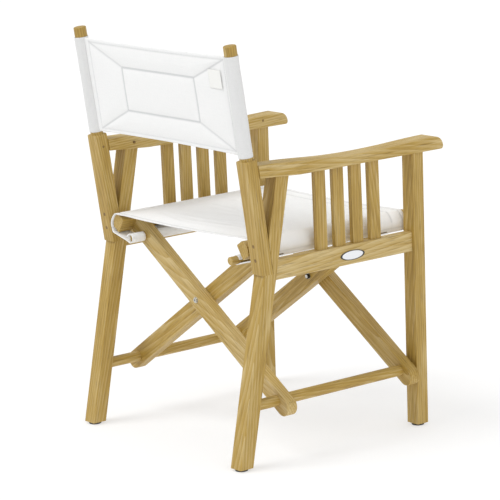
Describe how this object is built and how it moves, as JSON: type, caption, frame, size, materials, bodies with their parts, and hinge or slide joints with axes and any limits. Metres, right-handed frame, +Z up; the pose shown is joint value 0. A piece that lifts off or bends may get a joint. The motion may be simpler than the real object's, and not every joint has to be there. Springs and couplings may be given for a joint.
{
  "type": "folding director chair",
  "caption": "Folding director chair of pale teak with slatted side frames, a crossing leg frame and white quilted fabric seat and back slings.",
  "frame": {"origin": "floor, centre of the overall bounding box", "axes": "+Z up, the sitter faces -Y, +X to the sitter's left"},
  "size_m": [0.6172, 0.5864, 0.8998],
  "materials": {
    "teak": "oiled satin",
    "dark_wood": "oiled satin",
    "sling_fabric": "woven, slightly padded",
    "label_fabric": "satin woven",
    "badge_metal": "enamelled",
    "steel": "brushed",
    "glide_plastic": "matte"
  },
  "bodies": {
    "right_frame": {"back_label": "label_fabric", "back_sling": "sling_fabric", "badge_plate": "badge_metal", "right_armrest": "teak", "right_back_post": "teak", "right_front_leg": "teak", "right_glides": "glide_plastic", "right_locking_pins": "dark_wood", "right_rear_leg": "teak", "right_screw_plugs": "dark_wood", "right_side_rail": "teak", "right_slat_1": "teak", "right_slat_2": "teak", "right_slat_3": "teak", "right_slat_4": "teak", "right_stretcher": "teak"},
    "outer_legs": {"left_seat_rail": "teak", "left_sling_rod": "teak", "outer_front_xleg": "teak", "outer_rear_xleg": "teak", "pivot_bolts": "steel", "pivot_nuts": "steel", "pivot_washers": "steel", "seat_sling": "sling_fabric"},
    "inner_legs": {"inner_front_xleg": "teak", "inner_rear_xleg": "teak", "right_seat_rail": "teak", "right_sling_rod": "teak"},
    "left_frame": {"left_armrest": "teak", "left_back_post": "teak", "left_front_leg": "teak", "left_glides": "glide_plastic", "left_locking_pins": "dark_wood", "left_rear_leg": "teak", "left_screw_plugs": "dark_wood", "left_side_rail": "teak", "left_slat_1": "teak", "left_slat_2": "teak", "left_slat_3": "teak", "left_slat_4": "teak", "left_stretcher": "teak"}
  },
  "joints": [
    {"name": "right_stretcher_hinge", "type": "hinge", "parent": "right_frame", "child": "outer_legs", "pos_m": [-0.271, -0.00875, 0.132], "axis": [0, -1, 0], "range_deg": [0, 35], "deforming": ["seat_sling", "back_sling", "back_label"]},
    {"name": "leg_pivot", "type": "hinge", "parent": "outer_legs", "child": "inner_legs", "pos_m": [0, -0.00875, 0.309], "axis": [0, -1, 0], "range_deg": [-80.5, 0]},
    {"name": "left_stretcher_hinge", "type": "hinge", "parent": "inner_legs", "child": "left_frame", "pos_m": [0.271, -0.00875, 0.132], "axis": [0, -1, 0], "range_deg": [0, 35]}
  ],
  "couplings": [
    {"joint": "leg_pivot", "follows": "right_stretcher_hinge", "ratio": -2.3},
    {"joint": "left_stretcher_hinge", "follows": "right_stretcher_hinge", "ratio": 1}
  ]
}
